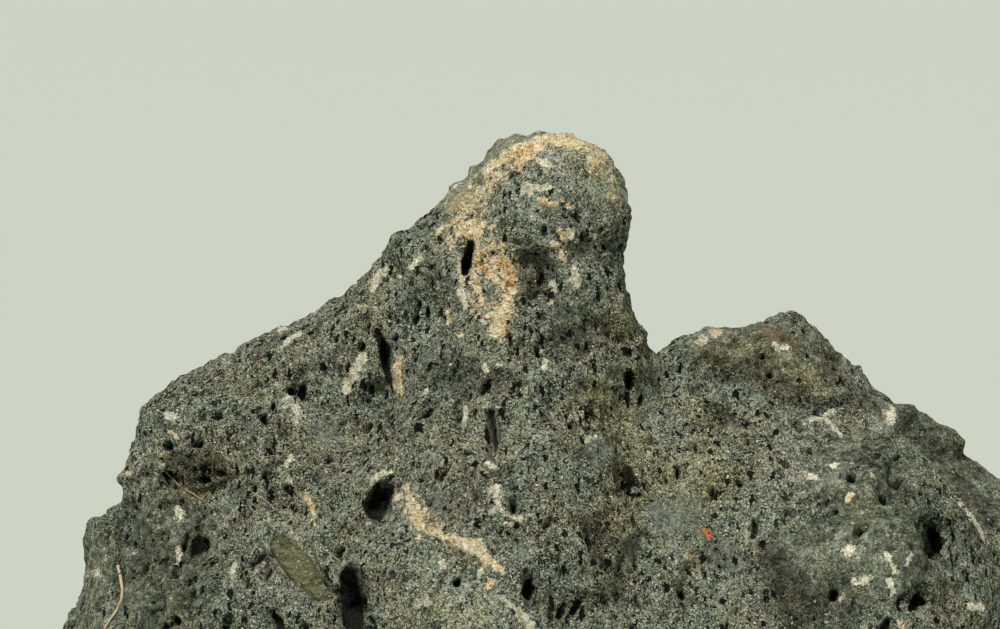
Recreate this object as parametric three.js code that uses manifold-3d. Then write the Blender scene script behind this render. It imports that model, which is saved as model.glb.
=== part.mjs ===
// A mountain-shaped viewing stone of dark, vesicular basalt, in millimetres, +Z up.
// One natural piece: a knobbed summit on a broad, lobed body with a second, lower ridge behind it.
// The origin is the centre of its bounding box, on the flat underside that the stone rests on.
import * as THREE from "three";
import { ImprovedNoise } from "three/addons/math/ImprovedNoise.js";
import { mergeVertices } from "three/addons/utils/BufferGeometryUtils.js";
import Module from "manifold-3d";

const wasm = await Module();
wasm.setup();
const { MathUtils, Vector3 } = THREE;

// ---- Driving dimensions ----------------------------------------------------------------------
const HEIGHT = 120; // underside to the top of the summit; the masses below are laid out to suit
const REACH = { x: 106, y: 66 }; // how far the surface grid goes either side of the summit
const CELL = { x: 4.8, front: 4.1, back: 5.6, top: 3.7, underside: 5.4 }; // its spacing, by place
const SHORT_EDGE = 0.5; // edges below this length are closed up after cutting
const SLIVER = 0.02; // area, mm2, below which a triangle's own facing doesn't count
const LEAST_ALIKE = 0.3; // cosine of the most that closing an edge may turn a triangle
const SETTLING_ROUNDS = 3; // times the surface grid is evened out
const CLOSING_ROUNDS = 3; // times short edges are closed up
const SAW_ALLOWANCE = 2; // stone left below the underside for the flat cut to take off

// ---- The stone's masses ----------------------------------------------------------------------
// Each is a tapered ridge between two ends, given as [x, y, z, radius]. blend is how softly it
// runs into the masses listed before it.
const MASSES = [
  { name: "core", from: [-36, 6, 28, 38], to: [42, 8, 26, 40], blend: 20 },
  { name: "mountain", from: [-8, 2, 84, 14], to: [-4, -2, 38, 42], blend: 14 },
  { name: "neck", from: [-2, 0, 102, 11], to: [-2, -3, 80, 18], blend: 6 },
  { name: "summit crest", from: [2.9, -2, 108.8, 9.2], to: [-16, 1, 97, 8], blend: 4 },
  { name: "summit crown", from: [-1, 3, 108.6, 10.2], to: [-6, 9, 106, 10.5], blend: 5 },
  { name: "summit rear", from: [-6.5, 10, 107, 10.2], to: [-15, 12, 97.4, 9.2], blend: 4 },
  { name: "summit back", from: [-5, 8, 96, 12], to: [-7, 18, 66, 21], blend: 8 },
  { name: "left crest", from: [-18, 7, 94, 9.5], to: [-25, 6, 83, 9.5], blend: 5 },
  { name: "left shoulder", from: [-36, 10, 78, 11], to: [-57, 10, 63, 15.5], blend: 9 },
  { name: "left flank", from: [-54, 6, 54, 17], to: [-54, 2, 30, 25], blend: 12 },
  { name: "left rear lobe", from: [-67.5, 28, 40, 17], to: [-66, 27, 26, 24], blend: 6 },
  { name: "summit rib", from: [-12.5, -3, 97, 6.5], to: [-10, -9, 86, 8], blend: 3 },
  { name: "front buttress", from: [-9, -6, 76, 14], to: [-8, -18, 50, 26], blend: 9 },
  { name: "foot boulder", from: [-23, -31, 50, 11], to: [-12, -36, 33, 17], blend: 3 },
  { name: "valley foot", from: [6, -34, 34, 12], to: [14, -32, 22, 18], blend: 6 },
  { name: "right front lobe", from: [28, -2, 62, 15], to: [46, -8, 44, 25], blend: 9 },
  { name: "right front nose", from: [51.5, -8, 50, 17.5], to: [50, -16, 28, 25], blend: 6 },
  { name: "right rear ridge", from: [29, 40, 72, 9], to: [42, 42, 74, 9], blend: 8 },
  { name: "right rear knuckle", from: [50, 42, 70, 8], to: [49, 40, 62, 10], blend: 4 },
  { name: "right rear slope", from: [56, 40, 58, 9], to: [79, 33, 36.5, 18], blend: 8 },
  { name: "rear mass", from: [-22, 28, 44, 26], to: [34, 28, 36, 30], blend: 16 },
  { name: "rear spur", from: [-10, 20, 82, 9], to: [-16, 42, 46, 15], blend: 8 },
  { name: "rear foot", from: [18, 46, 22, 17], to: [38, 42, 18, 18], blend: 6 },
];

// Hollows worn into the masses, as [x, y, z, radius] at the two ends; blend softens the rim.
const HOLLOWS = [
  { name: "under the summit knob", from: [3, -18, 98, 5], to: [0, -20, 92, 6], blend: 4 },
  { name: "summit notch", from: [16, -8, 99.5, 5], to: [15.5, 8, 100, 5], blend: 3 },
  { name: "below the ledge", from: [-6, -20, 97.5, 4.5], to: [4, -21, 96.5, 4.5], blend: 3 },
  { name: "left bowl", from: [-60, -14, 59, 7], to: [-50, -19, 64, 7], blend: 5 },
  { name: "front valley", from: [17, -27, 70, 3.5], to: [15, -42, 48, 3.5], blend: 9 },
  { name: "saddle", from: [27, 18, 84, 9], to: [46, 18, 76, 9], blend: 5 },
  { name: "right gully", from: [46, 17, 70, 10], to: [88, 8, 46, 9], blend: 4 },
  { name: "right gully foot", from: [88, 8, 46, 9], to: [88, 0, 20, 9], blend: 5 },
  { name: "rear gully", from: [6, 52, 66, 8], to: [2, 64, 30, 10], blend: 8 },
  { name: "left rear gully", from: [-38, 46, 56, 8], to: [-42, 58, 26, 9], blend: 8 },
];

// Uneven relief over the whole surface, mm: ridges stand up and hollows between them are rounded.
const RELIEF = [
  { wave: 34, height: 2.4 },
  { wave: 17, height: 2 },
  { wave: 9, height: 0.8 },
];
const RELIEF_START = 40; // where in the endless relief this stone is taken from

// The larger gas cavities. Each is found by looking at the stone squarely from one side, at a place
// in that view: [x, z] from the front or back, [y, z] from the left or right, [x, y] from above.
// size is [across, high, deep], and lean turns it in the view, in degrees.
const CAVITIES = [
  { side: "front", at: [-14.7, 99.8], size: [1.7, 6.4, 5], lean: -13 },
  { side: "front", at: [-28.9, 83.4], size: [1.7, 10.8, 6], lean: 12 },
  { side: "front", at: [-29.4, 61], size: [5.2, 7.4, 7], lean: -10 },
  { side: "front", at: [-33.8, 48], size: [6.6, 11.5, 9], lean: 6 },
  { side: "front", at: [12, 80], size: [2, 4.6, 3.4], lean: 0 },
  { side: "front", at: [12.4, 62], size: [3.2, 5.8, 4], lean: 12 },
  { side: "front", at: [62, 55], size: [4, 6.6, 5], lean: 10 },
  { side: "front", at: [59, 46], size: [4.6, 3, 4.6], lean: 24 },
  { side: "front", at: [-60, 51], size: [1.9, 2.6, 2.4], lean: -8 },
  { side: "front", at: [-54, 42], size: [2.6, 2.8, 3], lean: 10 },
  { side: "front", at: [-6, 24], size: [6, 4.6, 5], lean: 16 },
  { side: "front", at: [34, 24], size: [4.6, 6.4, 5], lean: -12 },
  { side: "front", at: [-46, 20], size: [5, 4, 4], lean: 20 },
  { side: "left", at: [6, 52], size: [4, 7, 5], lean: 10 },
  { side: "left", at: [26, 30], size: [6, 5, 5], lean: -20 },
  { side: "left", at: [-8, 26], size: [4, 5.4, 4], lean: 0 },
  { side: "right", at: [-6, 50], size: [4.4, 6.4, 5], lean: -8 },
  { side: "right", at: [22, 40], size: [5.6, 4.6, 5], lean: 14 },
  { side: "right", at: [8, 20], size: [6, 4.4, 5], lean: 0 },
  { side: "back", at: [-12, 96], size: [3, 5, 4], lean: 0 },
  { side: "back", at: [-46, 58], size: [5.4, 6.4, 5], lean: 12 },
  { side: "back", at: [-16, 50], size: [4, 8, 6], lean: -8 },
  { side: "back", at: [24, 60], size: [6, 5, 5], lean: 18 },
  { side: "back", at: [44, 40], size: [5, 8.4, 6], lean: 6 },
  { side: "back", at: [8, 26], size: [7, 5, 6], lean: -12 },
  { side: "back", at: [-60, 26], size: [5, 6, 5], lean: 10 },
  { side: "top", at: [44, 14], size: [5, 3.4, 4], lean: 20 },
  { side: "top", at: [-56, 24], size: [4, 5.4, 4], lean: -30 },
];

const noise = new ImprovedNoise();

function ridgeDistance(p, { from, to }) {
  const [ax, ay, az, ar] = from;
  const [bx, by, bz, br] = to;
  const dx = bx - ax;
  const dy = by - ay;
  const dz = bz - az;
  const t = MathUtils.clamp(
    ((p.x - ax) * dx + (p.y - ay) * dy + (p.z - az) * dz) / (dx * dx + dy * dy + dz * dz),
    0,
    1,
  );
  const distance = Math.hypot(p.x - ax - t * dx, p.y - ay - t * dy, p.z - az - t * dz);
  return distance - MathUtils.lerp(ar, br, t);
}

function smoothMin(a, b, blend) {
  const overlap = Math.max(blend - Math.abs(a - b), 0) / blend;
  return Math.min(a, b) - (overlap * overlap * blend) / 4;
}

// Signed distance to the uncut stone: negative inside.
function stoneField(p) {
  let d = ridgeDistance(p, MASSES[0]);
  for (const mass of MASSES.slice(1)) d = smoothMin(d, ridgeDistance(p, mass), mass.blend);
  for (const hollow of HOLLOWS) d = -smoothMin(-d, ridgeDistance(p, hollow), hollow.blend);
  for (const { wave, height } of RELIEF) {
    const [u, v, w] = p.toArray().map((along) => along / wave + RELIEF_START);
    const n = noise.noise(u, v, w);
    d -= height * (0.5 - 2 * Math.abs(n));
  }
  return Math.max(d, -SAW_ALLOWANCE - p.z);
}

// ---- Surface -----------------------------------------------------------------------------------
// Positions from low to high whose spacing eases from one cell size to the other.
function gradedLine(low, high, cellAtLow, cellAtHigh) {
  const line = [low];
  while (line[line.length - 1] < high) {
    const x = line[line.length - 1];
    line.push(x + MathUtils.mapLinear(x, low, high, cellAtLow, cellAtHigh));
  }
  return line;
}

// Where opposite corners of a grid square are inside and the other two outside, two sheets of the
// surface would meet along a line. Takes the nearer outside corner in, until no square is like that.
function fillPinches(values, nx, ny, nz) {
  const [alongX, alongY, alongZ] = [ny * nz, nz, 1];
  let pinched = true;
  while (pinched) {
    pinched = false;
    for (let i = 0; i < nx - 1; i++)
      for (let j = 0; j < ny - 1; j++)
        for (let k = 0; k < nz - 1; k++)
          for (const [u, v] of [[alongX, alongY], [alongX, alongZ], [alongY, alongZ]]) {
            const first = i * alongX + j * alongY + k;
            const square = [first, first + u, first + u + v, first + v];
            const [a, b, c, d] = square.map((corner) => values[corner] < 0);
            if (a !== c || b !== d || a === b) continue;
            const [e, f] = square.filter((corner) => values[corner] >= 0);
            values[values[e] < values[f] ? e : f] = -0.1;
            pinched = true;
          }
  }
}

// One closed skin over the field's zero level: a point in each cell that the level crosses, and a
// quad across each grid edge that it crosses.
function skinOf(field, xs, ys, zs) {
  const [nx, ny, nz] = [xs.length, ys.length, zs.length];
  const at = (i, j, k) => (i * ny + j) * nz + k;
  const values = new Float64Array(nx * ny * nz);
  const p = new Vector3();
  for (let i = 0; i < nx; i++)
    for (let j = 0; j < ny; j++)
      for (let k = 0; k < nz; k++) values[at(i, j, k)] = field(p.set(xs[i], ys[j], zs[k]));
  fillPinches(values, nx, ny, nz);

  const points = [];
  const pointOf = new Int32Array(values.length).fill(-1);
  const corner = (c) => [c & 1, (c >> 1) & 1, (c >> 2) & 1];
  for (let i = 0; i < nx - 1; i++)
    for (let j = 0; j < ny - 1; j++)
      for (let k = 0; k < nz - 1; k++) {
        const sum = new Vector3();
        let crossings = 0;
        for (let c = 0; c < 8; c++)
          for (const step of [1, 2, 4]) {
            if (c & step) continue;
            const [a, b] = [corner(c), corner(c | step)];
            const va = values[at(i + a[0], j + a[1], k + a[2])];
            const vb = values[at(i + b[0], j + b[1], k + b[2])];
            if (va < 0 === vb < 0) continue;
            const t = va / (va - vb);
            sum.x += MathUtils.lerp(xs[i + a[0]], xs[i + b[0]], t);
            sum.y += MathUtils.lerp(ys[j + a[1]], ys[j + b[1]], t);
            sum.z += MathUtils.lerp(zs[k + a[2]], zs[k + b[2]], t);
            crossings++;
          }
        if (!crossings) continue;
        pointOf[at(i, j, k)] = points.length;
        points.push(sum.divideScalar(crossings));
      }

  const triangles = [];
  const addQuad = (a, b, c, d, flip) => {
    const [q, r, s, t] = (flip ? [a, d, c, b] : [a, b, c, d]).map((cell) => pointOf[cell]);
    const acrossQs = points[q].distanceTo(points[s]) < points[r].distanceTo(points[t]);
    triangles.push(...(acrossQs ? [q, r, s, q, s, t] : [q, r, t, r, s, t]));
  };
  for (let i = 1; i < nx - 1; i++)
    for (let j = 1; j < ny - 1; j++)
      for (let k = 1; k < nz - 1; k++) {
        const inside = values[at(i, j, k)] < 0;
        if (inside !== values[at(i + 1, j, k)] < 0)
          addQuad(at(i, j, k), at(i, j - 1, k), at(i, j - 1, k - 1), at(i, j, k - 1), !inside);
        if (inside !== values[at(i, j + 1, k)] < 0)
          addQuad(at(i, j, k), at(i, j, k - 1), at(i - 1, j, k - 1), at(i - 1, j, k), !inside);
        if (inside !== values[at(i, j, k + 1)] < 0)
          addQuad(at(i, j, k), at(i - 1, j, k), at(i - 1, j - 1, k), at(i, j - 1, k), !inside);
      }
  return { points, triangles };
}

// Evens out the skin's points and puts them back on the field's zero level.
function settle({ points, triangles }, field, rounds) {
  const neighbours = points.map(() => new Set());
  for (let t = 0; t < triangles.length; t += 3)
    for (let e = 0; e < 3; e++) neighbours[triangles[t + e]].add(triangles[t + ((e + 1) % 3)]);
  const STEP = 0.05; // mm, for the field's slope
  const LEAST_SLOPE = 0.2; // squared, so that a flat place doesn't throw a point far off
  const probe = new Vector3();
  const slope = new Vector3();
  for (let round = 0; round < rounds; round++) {
    const middles = points.map((_, n) => {
      const middle = new Vector3();
      for (const other of neighbours[n]) middle.add(points[other]);
      return middle.divideScalar(neighbours[n].size);
    });
    points.forEach((p, n) => {
      p.lerp(middles[n], 0.5);
      for (let pass = 0; pass < 2; pass++) {
        const value = field(p);
        slope.set(
          field(probe.set(p.x + STEP, p.y, p.z)) - value,
          field(probe.set(p.x, p.y + STEP, p.z)) - value,
          field(probe.set(p.x, p.y, p.z + STEP)) - value,
        );
        slope.divideScalar(STEP);
        p.addScaledVector(slope, -value / Math.max(slope.lengthSq(), LEAST_SLOPE));
      }
    });
  }
}

function geometryOf(points, triangles) {
  const geometry = new THREE.BufferGeometry();
  geometry.setAttribute("position", new THREE.Float32BufferAttribute(points.flatMap((p) => p.toArray()), 3));
  geometry.setIndex(triangles);
  return geometry;
}

function manifoldOf(geometry) {
  const vertProperties = new Float32Array(geometry.getAttribute("position").array);
  return new wasm.Manifold(
    new wasm.Mesh({ numProp: 3, vertProperties, triVerts: new Uint32Array(geometry.index.array) }),
  );
}

function geometryOfManifold(solid) {
  const { numProp, numVert, vertProperties, triVerts } = solid.getMesh();
  const positions = new Float32Array(numVert * 3);
  for (let v = 0; v < numVert; v++)
    positions.set(vertProperties.subarray(v * numProp, v * numProp + 3), v * 3);
  const geometry = new THREE.BufferGeometry();
  geometry.setAttribute("position", new THREE.BufferAttribute(positions, 3));
  geometry.setIndex([...triVerts]);
  return geometry;
}

// Closes up the edges shorter than limit that cutting leaves, so no triangle is a sliver. Of an
// edge's two ends the lower stays where it is, which keeps the underside flat.
function closeShortEdges(geometry, limit) {
  const corners = geometry.getAttribute("position");
  const points = Array.from({ length: corners.count }, (_, n) =>
    new Vector3().fromBufferAttribute(corners, n),
  );
  const triangles = [];
  for (let t = 0; t < geometry.index.count; t += 3) triangles.push([...geometry.index.array.slice(t, t + 3)]);
  const around = points.map(() => new Set());
  triangles.forEach((triangle, n) => triangle.forEach((v) => around[v].add(n)));
  const ringOf = (v) => new Set([...around[v]].flatMap((n) => triangles[n]).filter((w) => w !== v));
  const normalOf = ([a, b, c]) => new THREE.Triangle(points[a], points[b], points[c]).getNormal(new Vector3());

  function close(kept, lost) {
    const shared = [...ringOf(kept)].filter((v) => ringOf(lost).has(v));
    if (shared.length !== 2) return false;
    const staying = [...around[lost]].filter((n) => !triangles[n].includes(kept));
    const moved = staying.map((n) => triangles[n].map((v) => (v === lost ? kept : v)));
    const turns = staying.some((n, m) => {
      const area = new THREE.Triangle(...triangles[n].map((v) => points[v])).getArea();
      return area > SLIVER && normalOf(triangles[n]).dot(normalOf(moved[m])) < LEAST_ALIKE;
    });
    if (turns) return false;
    for (const n of around[lost])
      if (triangles[n].includes(kept)) for (const v of triangles[n]) if (v !== lost) around[v].delete(n);
    staying.forEach((n, m) => {
      triangles[n] = moved[m];
      around[kept].add(n);
    });
    around[lost].clear();
    return true;
  }

  const shortest = [];
  triangles.forEach(([a, b, c]) => {
    for (const [p, q] of [[a, b], [b, c], [c, a]])
      if (p < q && points[p].distanceTo(points[q]) < limit) shortest.push([p, q]);
  });
  shortest.sort(([a, b], [c, d]) => points[a].distanceTo(points[b]) - points[c].distanceTo(points[d]));
  for (const [p, q] of shortest) {
    if (!around[p].size || !around[q].size || !ringOf(p).has(q)) continue;
    const [kept, lost] = points[p].z <= points[q].z ? [p, q] : [q, p];
    close(kept, lost);
  }
  const left = new Set(around.flatMap((set) => [...set]));
  return geometryOf(points, [...left].flatMap((n) => triangles[n]));
}

// ---- Cavities ----------------------------------------------------------------------------------
// For each side: a point outside the stone on the line of sight, and the way the view's axes run.
const OUTSIDE = 2 * HEIGHT;
const CAVITY_UNEVENNESS = 0.35; // share of its size by which a cavity's wall wanders
const SIGHT = { steps: 400, caution: 0.7 }; // caution: share of the clear distance taken at a step
const VIEWS = {
  front: { start: ([x, z]) => [x, -OUTSIDE, z], across: [1, 0, 0], up: [0, 0, 1] },
  back: { start: ([x, z]) => [x, OUTSIDE, z], across: [-1, 0, 0], up: [0, 0, 1] },
  left: { start: ([y, z]) => [-OUTSIDE, y, z], across: [0, -1, 0], up: [0, 0, 1] },
  right: { start: ([y, z]) => [OUTSIDE, y, z], across: [0, 1, 0], up: [0, 0, 1] },
  top: { start: ([x, y]) => [x, y, OUTSIDE], across: [1, 0, 0], up: [0, 1, 0] },
};

// The point where a line of sight meets the stone.
function surfacePoint(start, direction) {
  const p = start.clone();
  for (let step = 0; step < SIGHT.steps; step++)
    p.addScaledVector(direction, SIGHT.caution * stoneField(p));
  return p;
}

function cavity({ side, at, size: [across, high, deep], lean }) {
  const view = VIEWS[side];
  const right = new Vector3(...view.across);
  const up = new Vector3(...view.up);
  const toViewer = new Vector3().crossVectors(right, up);
  const mouth = surfacePoint(new Vector3(...view.start(at)), toViewer.clone().negate());
  const shape = mergeVertices(
    new THREE.IcosahedronGeometry(1, 1).deleteAttribute("normal").deleteAttribute("uv"),
  );
  const corners = shape.getAttribute("position");
  for (let v = 0; v < corners.count; v++) {
    const corner = new Vector3().fromBufferAttribute(corners, v);
    const wander = noise.noise(2 * corner.x + at[0], 2 * corner.y + at[1], 2 * corner.z);
    corners.setXYZ(v, ...corner.multiplyScalar(1 + CAVITY_UNEVENNESS * wander));
  }
  return manifoldOf(
    shape
      .scale(across / 2, high / 2, deep)
      .rotateZ(MathUtils.degToRad(lean))
      .applyMatrix4(new THREE.Matrix4().makeBasis(right, up, toViewer))
      .translate(mouth.x, mouth.y, mouth.z),
  );
}

// ---- The stone ---------------------------------------------------------------------------------
function uncutStone() {
  const xs = gradedLine(-REACH.x, REACH.x, CELL.x, CELL.x);
  const ys = gradedLine(-REACH.y, REACH.y, CELL.front, CELL.back);
  const lowest = -2 * SAW_ALLOWANCE - CELL.underside;
  const zs = gradedLine(lowest, HEIGHT + 2 * CELL.top, CELL.underside, CELL.top);
  const skin = skinOf(stoneField, xs, ys, zs);
  settle(skin, stoneField, SETTLING_ROUNDS);
  return manifoldOf(geometryOf(skin.points, skin.triangles));
}

function belowUnderside() {
  const block = new THREE.BoxGeometry(3 * REACH.x, 3 * REACH.y, 40).translate(0, 0, -20);
  return manifoldOf(mergeVertices(block.deleteAttribute("normal").deleteAttribute("uv")));
}

let solid = uncutStone().subtract(belowUnderside());
for (const each of CAVITIES) solid = solid.subtract(cavity(each));

// The stone stands on Z = 0, centred on its bounding box, at exactly its full height.
let geometry = geometryOfManifold(solid);
for (let round = 0; round < CLOSING_ROUNDS; round++) geometry = closeShortEdges(geometry, SHORT_EDGE);
geometry = mergeVertices(geometry);
geometry.computeVertexNormals();
geometry.computeBoundingBox();
const middle = geometry.boundingBox.getCenter(new Vector3());
const scale = HEIGHT / geometry.boundingBox.max.z;
geometry.translate(-middle.x, -middle.y, 0).scale(scale, scale, scale);

const stone = new THREE.Mesh(
  geometry,
  new THREE.MeshStandardMaterial({ color: 0x5a5c50, roughness: 0.92, metalness: 0 }),
);
stone.name = "stone";
const root = new THREE.Group();
root.add(stone);
export default root;
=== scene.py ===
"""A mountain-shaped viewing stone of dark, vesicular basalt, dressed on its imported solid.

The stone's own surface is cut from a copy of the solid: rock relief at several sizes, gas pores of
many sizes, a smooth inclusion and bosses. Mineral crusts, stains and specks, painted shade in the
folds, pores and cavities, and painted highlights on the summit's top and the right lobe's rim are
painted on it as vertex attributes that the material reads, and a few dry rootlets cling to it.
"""

import math

import bmesh
import bpy
import numpy as np
from bpy.props import (
    FloatProperty,
    FloatVectorProperty,
    IntProperty,
    PointerProperty,
)
from bpy.types import Operator, Panel, PropertyGroup
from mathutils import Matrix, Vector
from mathutils.bvhtree import BVHTree
from mathutils.kdtree import KDTree


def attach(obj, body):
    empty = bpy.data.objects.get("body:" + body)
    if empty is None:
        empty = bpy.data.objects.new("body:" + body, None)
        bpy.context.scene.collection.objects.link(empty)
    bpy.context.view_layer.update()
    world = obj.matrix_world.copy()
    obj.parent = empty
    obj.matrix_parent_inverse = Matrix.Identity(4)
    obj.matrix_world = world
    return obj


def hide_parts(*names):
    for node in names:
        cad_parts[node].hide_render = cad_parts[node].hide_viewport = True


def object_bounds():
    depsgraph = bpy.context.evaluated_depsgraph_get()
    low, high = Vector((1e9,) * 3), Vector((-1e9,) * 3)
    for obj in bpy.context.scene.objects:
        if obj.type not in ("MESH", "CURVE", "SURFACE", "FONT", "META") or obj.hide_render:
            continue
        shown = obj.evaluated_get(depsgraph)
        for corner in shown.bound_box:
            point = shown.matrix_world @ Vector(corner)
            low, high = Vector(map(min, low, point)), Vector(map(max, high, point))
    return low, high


bl_info = {
    "name": "Basalt viewing stone",
    "version": (1, 0, 0),
    "blender": (4, 5, 0),
    "location": "View3D > Sidebar > Viewing stone",
    "description": "Makes a vesicular basalt viewing stone, its crusts and rootlets, and a plain stage",
    "category": "Add Mesh",
}

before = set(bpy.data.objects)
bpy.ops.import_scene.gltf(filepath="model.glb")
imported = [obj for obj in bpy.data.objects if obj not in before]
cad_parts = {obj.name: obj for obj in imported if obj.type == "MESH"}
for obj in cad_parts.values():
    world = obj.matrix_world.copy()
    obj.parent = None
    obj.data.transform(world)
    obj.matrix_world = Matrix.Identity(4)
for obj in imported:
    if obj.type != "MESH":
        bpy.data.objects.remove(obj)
SOLID_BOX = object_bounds()
MM = 0.001


# ---- Where things are on the stone ---------------------------------------------------------------
# The stone's front is set out as the camera sees it, in pixels of this frame, x right and y down.
FRAME_WIDTH, FRAME_HEIGHT = 1000, 629
SENSOR_WIDTH = 36.0
# A chain acts on what lies about as far from the camera as its first point, within this in mm.
CHAIN_DEPTH = 22
CHAIN_DEPTH_FADE = 6
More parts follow.
